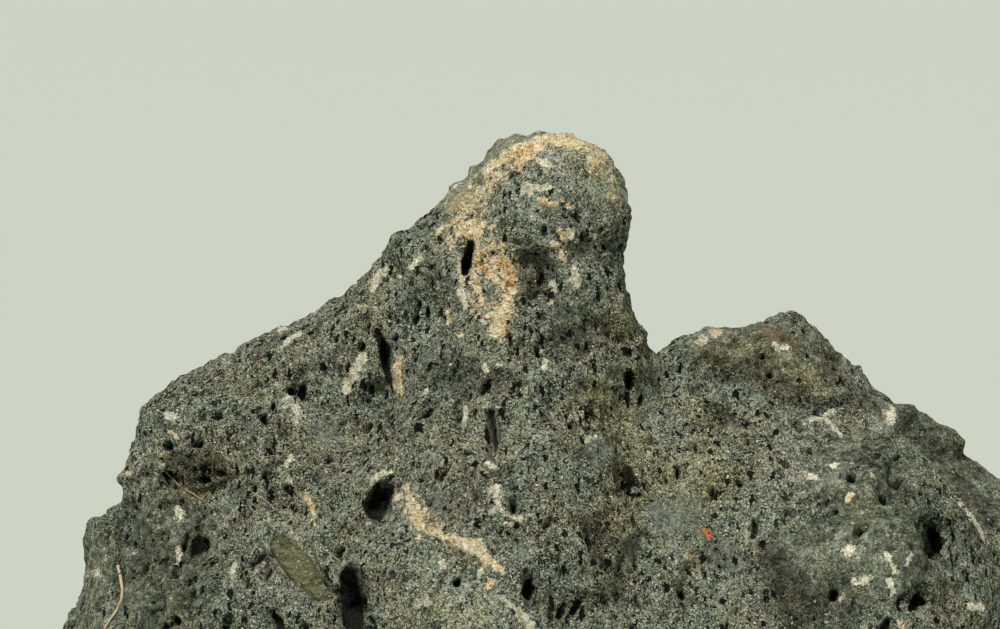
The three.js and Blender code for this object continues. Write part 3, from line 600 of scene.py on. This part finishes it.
def rock_relief(skin, worn):
    """How far the rock stands out, in mm: craggy on the flanks and smoother where it is worn."""
    p = skin.points / MM
    bent = p + 1.6 * np.stack([smooth_noise(p, 5, seed) for seed in (31, 32, 33)], axis=1)

    def crag(wave, seed):
        """Sharp ridges and rounded troughs."""
        return 0.5 - 2 * np.abs(smooth_noise(bent, wave, seed))

    rough = 1 - 0.9 * worn
    height = 0.2 * crag(15, 11) + 0.55 * rough * crag(7.5, 12) + 0.40 * rough * crag(3.6, 13)
    height += rough * (0.34 * smooth_noise(bent, 2.0, 14) + 0.24 * smooth_noise(p, 1.1, 15))
    return height - 0.15


def carved(skin):
    """How deep the hollows, cracks and ledges that show are cut, in mm."""
    depth = np.zeros(len(skin.points))
    for cuts, round_the_edge in ((HOLLOWS, False), (SKYLINE, True)):
        for deep, chain in cuts:
            depth += deep * eased(skin.reach(chain, round_the_edge), 0.05, 0.85)
    return depth


def pores(skin, props, worn, quiet):
    """How deep the pores are, in mm: those that show, and others scattered over the whole stone."""
    depth = np.zeros(len(skin.points))
    finder = finder_of(skin.points)
    ragged = 0.26 * smooth_noise(skin.points / MM, 0.9, 21)
    axes = (Vector((0, 0, 1)), Vector((0, 1, 0)))

    def sink(place, normal, half_width, half_height, lean, deep):
        """Sinks one upright oval pore with a ragged rim, sizes in mm and its lean in degrees."""
        up = axes[abs(normal.z) > 0.9]
        up = (up - normal * up.dot(normal)).normalized()
        side = normal.cross(up)
        turn = math.radians(lean)
        along = np.array(up * math.cos(turn) + side * math.sin(turn))
        across = np.array(side * math.cos(turn) - up * math.sin(turn))
        found = finder.find_range(place, (1.3 * max(half_width, half_height) + 0.3) * MM)
        index = np.array([f[1] for f in found], dtype=np.int64)
        if not len(index):
            return
        offset = (skin.points[index] - np.array(place)) / MM
        out = np.hypot(offset @ along / half_height, offset @ across / half_width) + ragged[index]
        facing = skin.normals[index] @ np.array(normal) > 0.2
        depth[index] = np.maximum(depth[index], eased(1 - out, -0.02, 0.42) * deep * facing)

    for x, y, half_width, half_height, lean in SHOWN_PORES:
        met = skin.sight.meet(skin.tree, x, y)
        if met is None:
            continue
        scale = (met[0] - skin.sight.eye).dot(skin.sight.ahead) / skin.sight.focal / MM
        width, height = max(0.85 * half_width * scale, NARROWEST_PORE), half_height * scale
        sink(met[0], met[1], width, height, -lean, min(2.4 * width, DEEPEST_PORE))

    # In drifts, fewer where the stone is worn or fine, and none under it.
    drift = eased(smooth_noise(skin.points / MM, 13, 22), -0.35, 0.35)
    chance = skin.free * (1 - eased(worn, 0.1, 0.5)) * (0.35 + 0.65 * drift) * (1 - 0.55 * quiet)
    crusted = np.maximum(skin.painted(CRUSTS["tan"]), skin.painted(CRUSTS["white"]))
    chance *= 1 - eased(crusted, 0.1, 0.4)
    chance[skin.points[:, 2] < 2 * MM] = 0
    picks = skin.rng.choice(len(skin.points), props.pore_count, replace=False, p=chance / chance.sum())
    # Half widths: many small ones and a few large ones, and no large ones by chance where it shows.
    sizes = 0.36 * (1 + skin.rng.pareto(3.6, props.pore_count))
    stretch = 1.2 + 1.5 * skin.rng.random(props.pore_count)
    leans = skin.rng.normal(-4, 16, props.pore_count)
    deeps = skin.rng.uniform(1.3, 2.3, props.pore_count)
    widest = 2.2 - 1.3 * skin.shown()
    for pick, size, longer, lean, deep in zip(picks, sizes, stretch, leans, deeps):
        size = min(size, widest[pick]) * (1 - 0.35 * quiet[pick])
        place, normal = Vector(skin.points[pick]), Vector(skin.normals[pick])
        sink(place, normal, size, size * min(longer, LONGEST_PORE / size), lean, size * deep)
    return depth


def scattered(skin, seed, count, least, most):
    """Ragged patches on the sides that aren't set out: 1 at a patch's middle and 0 at its rim."""
    rng = np.random.default_rng(seed)
    finder = finder_of(skin.points)
    value = np.zeros(len(skin.points))
    hidden = (1 - skin.shown()) * skin.free
    ragged = 0.5 * smooth_noise(skin.points / MM, 3.1, seed)
    for pick in rng.choice(len(skin.points), count, replace=False, p=hidden / hidden.sum()):
        radius = rng.uniform(least, most) * MM
        for place, index, gap in finder.find_range(skin.points[pick], radius):
            value[index] = max(value[index], 1 - gap / radius + ragged[index] * gap / radius)
    return value * hidden


def move_vertices(mesh, points):
    """Moves the mesh's vertices to the points, none of them outside the solid's box."""
    low, high = (np.array(corner) for corner in SOLID_BOX)
    mesh.vertices.foreach_set("co", np.clip(points, low, high).astype(np.float32).ravel())


def thin_out(piece, target, spared):
    """Takes the surface down to a number of triangles, with most of them left where it is spared."""
    group = piece.vertex_groups.new(name="thin out")
    grades = 4
    steps = np.round(spared * grades).astype(int)
    for step in range(grades + 1):
        members = np.nonzero(steps == step)[0].tolist()
        group.add(members, 1 - SPARED_WEIGHT * step / grades, "REPLACE")
    piece.data.calc_loop_triangles()
    thinner = piece.modifiers.new("thin out", "DECIMATE")
    thinner.ratio = target / len(piece.data.loop_triangles)
    thinner.use_collapse_triangulate = True
    thinner.vertex_group = group.name
    thinner.vertex_group_factor = SPARING
    apply_modifiers(piece)
    piece.vertex_groups.clear()


def make_stone(stone, stage):
    """Cuts the surface from a copy of the solid, thins it out and paints its layers."""
    piece = closed_copy("stone", "basalt_stone")
    rounding = piece.modifiers.new("rounding", "SUBSURF")
    rounding.levels = rounding.render_levels = 2
    cells = piece.modifiers.new("cells", "REMESH")
    cells.mode = "VOXEL"
    cells.voxel_size = stone.voxel
    cells.use_smooth_shade = True
    apply_modifiers(piece)

    sight = Sight(stage)
    skin = Skin(piece.data, sight, stone.seed)
    olive = skin.painted(CRUSTS["olive"])
    worn = np.maximum(skin.painted(CRUSTS["worn"]), eased(olive, 0.2, 0.5))
    quiet = skin.painted(QUIET)
    sunk = pores(skin, stone, worn, quiet)
    # The inclusion stands in its own narrow groove.
    groove = 0.9 * eased(olive, 0.34, 0.44) * eased(-olive, -0.60, -0.50)
    relief = np.minimum(rock_relief(skin, worn), 0.8 * skin.room())
    out = relief - carved(skin) - sunk - groove
    skin.points += skin.normals * (out * skin.free * MM)[:, None]
    move_vertices(piece.data, skin.points)
    piece.data.update()

    finder = finder_of(skin.points)
    thin_out(piece, stone.triangles, skin.shown())

    move_vertices(piece.data, vertex_table(piece.data, "co"))
    finished = Skin(piece.data, sight, stone.seed)
    near = [finder.find(point)[1] for point in finished.points]
    layers = {kind: finished.painted(chains) for kind, chains in CRUSTS.items()}
    for kind, (seed, count, least, most) in SCATTERED.items():
        layers[kind] = np.maximum(layers[kind], scattered(finished, seed, count, least, most))
    # How deep each vertex sits in a cut pore, which the material paints dark: grime and painted shade
    layers["hollow"] = np.clip(sunk[near] / FULLY_DARK_PORE_DEPTH, 0, 1)
    layers["quiet"] = quiet[near]
    for name, values in layers.items():
        layer = piece.data.attributes.new(name, "FLOAT", "POINT")
        layer.data.foreach_set("value", values.astype(np.float32))
    for face in piece.data.polygons:
        face.use_smooth = True
    return piece


# ---- Materials -----------------------------------------------------------------------------------
class Signal:
    """A socket of a material, with arithmetic: an expression on signals adds its Math nodes."""

    def __init__(self, paint, socket):
        self.paint, self.socket = paint, socket

    def _math(self, operation, *values):
        return self.paint.node("ShaderNodeMath", {"operation": operation}, dict(enumerate(values)))

    def __add__(self, other):
        return self._math("ADD", self, other)

    def __sub__(self, other):
        return self._math("SUBTRACT", self, other)

    def __rsub__(self, other):
        return self._math("SUBTRACT", other, self)

    def __mul__(self, other):
        return self._math("MULTIPLY", self, other)

    def __gt__(self, other):
        return self._math("GREATER_THAN", self, other)

    __radd__ = __add__
    __rmul__ = __mul__

    def most(self, other):
        """The greater of the two."""
        return self._math("MAXIMUM", self, other)

    def eased(self, low, high):
        """0 at low, 1 at high, and a smooth step between; low may be the larger."""
        return self.paint.node(
            "ShaderNodeMapRange", {"interpolation_type": "SMOOTHSTEP"},
            {"Value": self, "From Min": low, "From Max": high},
        )


class Paint:
    """A new material whose nodes are added by expressions."""

    def __init__(self, name):
        self.material = bpy.data.materials.new(name)
        self.material.use_nodes = True
        self.tree = self.material.node_tree
        self.tree.nodes.clear()

    def shares(self, colour):
        """A colour's red, green and blue as three signals: three random numbers for each cell."""
        split = self.node("ShaderNodeSeparateColor", {}, {"Color": colour})
        return [Signal(self, socket) for socket in split.socket.node.outputs]

    def node(self, kind, settings=None, values=None, out=0):
        """Adds a node: its settings first, then the values or links of its sockets."""
        made = self.tree.nodes.new(kind)
        for name, value in (settings or {}).items():
            if name == "stops":
                ramp = made.color_ramp
                while len(ramp.elements) < len(value):
                    ramp.elements.new(0.5)
                for element, (position, colour) in zip(ramp.elements, value):
                    element.position = position
                    element.color = (*colour, 1)
            else:
                setattr(made, name, value)
        for name, value in (values or {}).items():
            self.feed(made.inputs[name], value)
        return Signal(self, made.outputs[out])

    def feed(self, socket, value):
        """Links a signal to a socket, or sets the socket's value."""
        if isinstance(value, Signal):
            self.tree.links.new(value.socket, socket)
        elif socket.type == "RGBA" and len(value) == 3:
            socket.default_value = (*value, 1)
        else:
            socket.default_value = value

    def mixed(self, share, first, second, how="MIX"):
        """A colour between two."""
        made = self.tree.nodes.new("ShaderNodeMix")
        made.data_type, made.blend_type = "RGBA", how
        sockets = {s.identifier: s for s in made.inputs}
        for name, value in {"Factor_Float": share, "A_Color": first, "B_Color": second}.items():
            self.feed(sockets[name], value)
        return Signal(self, next(s for s in made.outputs if s.identifier == "Result_Color"))

    def layer(self, name):
        """A vertex attribute of the piece."""
        return self.node("ShaderNodeAttribute", {"attribute_name": name}, out="Fac")

    def noise(self, place, scale, detail=2, roughness=0.5, out=0):
        """Noise with so many features to a unit of the place."""
        sockets = {"Vector": place, "Scale": scale, "Detail": detail, "Roughness": roughness}
        return self.node("ShaderNodeTexNoise", {}, sockets, out)

    def ramp(self, share, *stops):
        """A colour from a ramp."""
        return self.node("ShaderNodeValToRGB", {"stops": stops}, {"Fac": share})

    def turned(self, place, turn, scale):
        """A place turned about Y by an angle and stretched."""
        sockets = {"Vector": place, "Rotation": (0, turn, 0), "Scale": scale}
        return self.node("ShaderNodeMapping", {}, sockets)

    def cells(self, place, size):
        """How far a place is from the middle of its cell, and three random numbers for the cell."""
        away = self.node("ShaderNodeTexVoronoi", {}, {"Vector": place, "Scale": 1 / size})
        return away, self.shares(Signal(self, away.socket.node.outputs["Color"]))

    def crumbs(self, place, size):
        """Three random numbers for each small cube."""
        cube = self.node("ShaderNodeVectorMath", {"operation": "SNAP"}, {0: place, 1: (size,) * 3})
        return self.shares(self.node("ShaderNodeTexWhiteNoise", {}, {"Vector": cube}, "Color"))

    def finish(self, **sockets):
        """The material, with these sockets of its shader."""
        named = {name.replace("_", " "): value for name, value in sockets.items()}
        shader = self.node("ShaderNodeBsdfPrincipled", {}, named)
        surface = self.tree.nodes.new("ShaderNodeOutputMaterial").inputs["Surface"]
        self.tree.links.new(shader.socket, surface)
        return self.material


def basalt(stone):
    """The rock with its pores, grime and painted shade, specks, painted glints, crusts and stains. Sizes and
    places are in mm.
    """
    paint = Paint("basalt")
    object_place = paint.node("ShaderNodeTexCoord", out="Object")
    place = paint.node(
        "ShaderNodeVectorMath", {"operation": "SCALE"}, {"Vector": object_place, "Scale": 1 / MM}
    )
    worn, hollow, quiet = paint.layer("worn"), paint.layer("hollow"), paint.layer("quiet")
    smooth = paint.layer("smooth").eased(0.1, 0.7)
    dull = paint.layer("dull").eased(0.0, 0.7)
    # The pit layer: painted shade, black inside the deep cavities
    pit = paint.layer("pit").eased(0.25, 0.5)

    # Places pushed about, so that nothing is round, and stretched, so that pores stand upright.
    push = paint.noise(place, 1.5, 1, 0.6, out="Color")
    pushed = paint.node(
        "ShaderNodeVectorMath", {"operation": "MULTIPLY_ADD"}, {0: push, 1: (1.4, 1.4, 1.4), 2: place}
    )
    upright = paint.turned(pushed, 0.09, (1, 1, 0.45))

    def pores(size, share, widest, wall):
        """Pores in a share of cells of one size: 1 in a pore and 0 outside, with steep walls."""
        away, chance = paint.cells(upright, size)
        width = (chance[0] - (1 - share)) * (widest / share)
        return (width - away).eased(0.0, wall)

    large = pores(2.3, 0.50, 0.33, 0.04) * (1 - worn)
    middle = pores(1.25, 0.62, 0.46, 0.05) * (1 - 0.8 * worn) * (1 - smooth * 0.5)
    small = pores(0.70, 0.52, 0.50, 0.06) * (1 - 0.7 * worn) * (1 - smooth.most(dull) * 0.75)

    # Unevenness, from coarse to fine
    coarse = paint.noise(place, 0.16, 2, 0.6)
    middling = paint.noise(place, 0.55, 2, 0.7)
    rough = paint.noise(pushed, 0.85, 3, 0.8)
    fine = paint.noise(pushed, 3.3, 2, 0.9)
    _, grains = paint.cells(pushed, 0.29)
    crumbs = paint.crumbs(pushed, 0.20)
    small = small * (0.7 + 0.3 * coarse.eased(0.40, 0.60).most(quiet))

    # Rock
    grit = (fine - 0.5) * 1.5 + (grains[0] - 0.5) * 0.30 + (crumbs[0] - 0.5) * 1.3
    lumps = (rough - 0.5) * 1.3 + (middling - 0.5) * 1.1 + (coarse - 0.5) * 0.8
    tone = 0.520 + grit * (1 - (smooth * 0.6).most(dull * 0.6)) + lumps
    # The pale layer: pale rock, and painted light on the summit's top and the right lobe's rim
    tone = tone + worn * 0.08 + paint.layer("pale") * 0.14 - dull * 0.11
    colour = paint.ramp(tone, (0.0, stone.dark_rock), (0.5, stone.rock), (1.0, stone.pale_rock))

    # Warmer, cooler and browner stretches, and painted shade in the folds
    tint = paint.shares(paint.noise(place, 0.11, 3, 0.7, out="Color"))
    brown = (paint.layer("brown") + (tint[2] - 0.5) * 2.0).eased(0.15, 0.9)
    for share, filtered in (
        (tint[0].eased(0.45, 0.62) * 0.5, (1.0, 0.93, 0.72)),
        (tint[1].eased(0.47, 0.62) * 0.5, (0.84, 0.96, 1.0)),
        (brown * 0.55, (1.22, 1.07, 0.75)),
        # The dark layer: painted shade in the folds and hollows
        (paint.layer("dark").eased(0.0, 0.8) * 0.66, (0.28, 0.28, 0.28)),
    ):
        colour = paint.mixed(share, colour, filtered, "MULTIPLY")
    slate = (paint.layer("slate") + (middling - 0.5) * 1.2).eased(0.35, 0.6)
    colour = paint.mixed(slate * 0.5, colour, (0.17, 0.20, 0.165))

    # The smooth inclusion, streaked along its length
    olive = paint.layer("olive").eased(0.44, 0.52)
    streaks = paint.noise(paint.turned(place, math.radians(-48), (0.22, 1, 2.6)), 1.0, 3, 0.65)
    olive_colour = paint.ramp(
        streaks + (crumbs[1] - 0.5) * 0.2, (0.3, (0.075, 0.080, 0.038)), (0.7, (0.24, 0.25, 0.13))
    )
    colour = paint.mixed(olive, colour, olive_colour)

    # Pale, yellowish and rusty specks, and painted glints
    away, pick = paint.cells(pushed, 0.75)
    pale = ((pick[0] - 0.90) * 4.2 - away).eased(0.0, 0.08)
    rusty = ((pick[1] - 0.94) * 5.0 - away).eased(0.0, 0.08)
    painted_glint = (crumbs[1] > 0.988) * (0.9 - 0.7 * dull)
    colour = paint.mixed(pale * 0.85, colour, (0.60, 0.60, 0.42))
    colour = paint.mixed(rusty * 0.7, colour, (0.24, 0.09, 0.045))
    colour = paint.mixed(painted_glint, colour, (0.9, 0.92, 0.84))

    # Crusts, broken up by the rock's own unevenness
    breaking = (paint.noise(place, 0.9, 4, 0.8) - 0.5) * 1.9 + (grains[1] - 0.5) * 0.24
    shade = 0.5 + (paint.noise(place, 1.1, 3, 0.85) - 0.5) * 2.0
    shade = shade + (crumbs[2] - 0.5) * 0.45 + (grains[2] - 0.5) * 0.40

    def crust(name, over, cover, ragged=1.0):
        """A crust's share: how well it covers, how much of its layer it leaves bare, and its rim."""
        edge = (paint.layer(name) + breaking * ragged).eased(cover, cover + 0.08)
        return edge * (paint.layer(name) > 0.02) * (1 - pit) * over

    tan = crust("tan", 0.97, 0.44, 1.15).most(crust("flecked", 0.9, 0.84, 1.7))
    white = crust("white", 0.96, 0.40, 1.25)
    khaki = crust("khaki", 0.95, 0.42)
    tan_colour = paint.ramp(
        shade - paint.layer("rust") * 0.3,
        (0.03, (0.24, 0.10, 0.03)),
        (0.22, (0.68, 0.40, 0.15)),
        (0.43, stone.tan_crust),
        (0.74, (1.0, 0.98, 0.76)),
    )
    white_colour = paint.ramp(
        shade, (0.06, (0.44, 0.34, 0.16)), (0.40, stone.white_crust), (0.74, (1.0, 0.99, 0.86))
    )
    strokes = paint.noise(paint.turned(place, math.radians(30), (0.5, 1, 4)), 1.0, 3, 0.7)
    khaki_colour = paint.mixed(strokes.eased(0.35, 0.65), (0.30, 0.24, 0.13), (0.60, 0.52, 0.32))
    for share, crust_colour in (
        (crust("rust", 0.45, 0.60, 1.6), (0.22, 0.115, 0.06)),
        (khaki, khaki_colour),
        (tan, tan_colour),
        (white, white_colour),
        (crust("orange", 0.95, 0.42), (0.80, 0.27, 0.05)),
    ):
        colour = paint.mixed(share, colour, crust_colour)

    # Grime and painted shade in every pore that no crust fills and in the cut pores, and painted black shade
    # in the deep cavities
    dark = (large * 0.98).most(middle * 0.97).most(small * 0.92)
    dark = dark * (1 - 0.8 * tan.most(white).most(khaki))
    dark = dark.most(hollow.eased(0.2, 0.9) * 0.9).most(pit * 0.93)
    colour = paint.mixed(dark, colour, (0.004, 0.004, 0.003))

    # Height, from the same marks as the colour
    filled = paint.layer("tan").most(paint.layer("white")).eased(0.3, 0.6)
    height = (fine - 0.5) * 0.42 + (rough - 0.5) * (2.0 - 1.2 * worn) + (middling - 0.5) * 1.2
    height = height + filled * 0.12
    height = height - (large * 0.6 + middle * 0.35 + small * 0.16) * (1 - filled * 0.8)
    bump = paint.node("ShaderNodeBump", {}, {"Height": height, "Distance": MM, "Strength": 1.0})
    return paint.finish(
        Base_Color=colour, Roughness=0.93 - olive * 0.2 - slate * 0.1, Specular_IOR_Level=0.12, Normal=bump
    )


def dry_root():
    """The straw colour of the dead rootlets."""
    paint = Paint("dry_root")
    place = paint.node("ShaderNodeTexCoord", out="Object")
    shade = paint.noise(place, 1400.0, 3)
    colour = paint.mixed(shade, (0.30, 0.21, 0.12), (0.62, 0.52, 0.36))
    return paint.finish(Base_Color=colour, Roughness=0.8)


# ---- Rootlets ------------------------------------------------------------------------------------
def make_rootlets(stone_piece, stage):
    """Thin tubes that follow the surface."""
    sight = Sight(stage)
    tree = tree_of(stone_piece.data)
    curve = bpy.data.curves.new("rootlets", "CURVE")
    curve.dimensions = "3D"
    curve.bevel_depth = 1.0
    curve.bevel_resolution = 2
    curve.resolution_u = 6
    curve.use_fill_caps = True
    for radius, pixels in ROOTLETS:
        places = []
        for x, y in pixels:
            met = sight.meet(tree, x, y)
            if met:
                places.append(met[0] + (sight.eye - met[0]).normalized() * radius * 1.6 * MM)
        spline = curve.splines.new("BEZIER")
        spline.bezier_points.add(len(places) - 1)
        for number, (knot, spot) in enumerate(zip(spline.bezier_points, places)):
            knot.co = spot
            knot.radius = radius * MM * (1 - 0.5 * number / len(places))
            knot.handle_left_type = knot.handle_right_type = "AUTO"
    holder = placed("rootlet_curves", curve)
    mesh = bpy.data.meshes.new_from_object(holder.evaluated_get(bpy.context.evaluated_depsgraph_get()))
    bpy.data.objects.remove(holder)
    piece = placed("rootlets", mesh)
    for face in mesh.polygons:
        face.use_smooth = True
    return piece


# ---- Stage ---------------------------------------------------------------------------------------
def make_stage(stage):
    """A plain floor, an even pale surrounding, one soft lamp and the camera."""
    shape = bmesh.new()
    bmesh.ops.create_circle(shape, cap_ends=True, segments=64, radius=9.0)
    mesh = bpy.data.meshes.new("floor")
    shape.to_mesh(mesh)
    shape.free()
    floor = placed("floor", mesh)
    paint = Paint("paper")
    mesh.materials.append(paint.finish(Base_Color=(*stage.floor_colour, 1), Roughness=1.0))

    world = bpy.data.worlds.new("studio")
    world.use_nodes = True
    back = world.node_tree.nodes["Background"]
    back.inputs["Color"].default_value = (0.94, 1.0, 0.92, 1)
    back.inputs["Strength"].default_value = 0.24
    bpy.context.scene.world = world

    lamp = bpy.data.lights.new("key", "SUN")
    lamp.energy = 3.6
    lamp.angle = math.radians(18)
    lamp.color = (1.0, 0.985, 0.93)
    holder = placed("key", lamp)
    azimuth, elevation = math.radians(-32), math.radians(60)
    across, above = math.cos(elevation), math.sin(elevation)
    way = Vector((math.sin(azimuth) * across, -math.cos(azimuth) * across, above))
    holder.rotation_euler = way.to_track_quat("Z", "Y").to_euler()

    sight = Sight(stage)
    lens = bpy.data.cameras.new("camera")
    lens.sensor_width = SENSOR_WIDTH
    lens.lens = stage.lens
    lens.clip_start, lens.clip_end = 0.01, 50
    camera = placed("camera", lens)
    camera.location = sight.eye
    camera.rotation_euler = (-sight.ahead).to_track_quat("Z", "Y").to_euler()
    bpy.context.scene.camera = camera
    bpy.context.scene.view_settings.view_transform = "Standard"


# ---- The add-on ----------------------------------------------------------------------------------
class STONE_OT_stone(Operator):
    """Makes the stone's surface and its material"""

    bl_idname = "viewing_stone.make_stone"
    bl_label = "Make the stone"

    def execute(self, context):
        scene = context.scene
        piece = make_stone(scene.stone_surface, scene.stone_stage)
        piece.data.materials.clear()
        piece.data.materials.append(basalt(scene.stone_surface))
        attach(piece, "root")
        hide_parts("stone")
        return {"FINISHED"}


class STONE_OT_rootlets(Operator):
    """Lays the dry rootlets on the stone"""

    bl_idname = "viewing_stone.make_rootlets"
    bl_label = "Make the rootlets"

    def execute(self, context):
        piece = make_rootlets(bpy.data.objects["basalt_stone"], context.scene.stone_stage)
        piece.data.materials.clear()
        piece.data.materials.append(dry_root())
        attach(piece, "root")
        return {"FINISHED"}


class STONE_OT_stage(Operator):
    """Makes the floor, the lights and the camera"""

    bl_idname = "viewing_stone.make_stage"
    bl_label = "Make the stage"

    def execute(self, context):
        make_stage(context.scene.stone_stage)
        return {"FINISHED"}


class STONE_PT_panel(Panel):
    """Lists the stone's steps and settings"""

    bl_idname = "STONE_PT_panel"
    bl_label = "Viewing stone"
    bl_space_type = "VIEW_3D"
    bl_region_type = "UI"
    bl_category = "Viewing stone"

    def draw(self, context):
        for settings, step in (
            (context.scene.stone_surface, "make_stone"),
            (context.scene.stone_stage, "make_stage"),
        ):
            box = self.layout.box()
            for name in settings.__annotations__:
                box.prop(settings, name)
            box.operator(f"viewing_stone.{step}")
        self.layout.operator("viewing_stone.make_rootlets")


CLASSES = (StoneProps, StageProps, STONE_OT_stone, STONE_OT_rootlets, STONE_OT_stage, STONE_PT_panel)


def register():
    for each in CLASSES:
        bpy.utils.register_class(each)
    bpy.types.Scene.stone_surface = PointerProperty(type=StoneProps)
    bpy.types.Scene.stone_stage = PointerProperty(type=StageProps)


def unregister():
    del bpy.types.Scene.stone_stage
    del bpy.types.Scene.stone_surface
    for each in reversed(CLASSES):
        bpy.utils.unregister_class(each)


def main():
    register()
    bpy.ops.viewing_stone.make_stage()
    bpy.ops.viewing_stone.make_stone()
    bpy.ops.viewing_stone.make_rootlets()


if __name__ == "__main__":
    main()
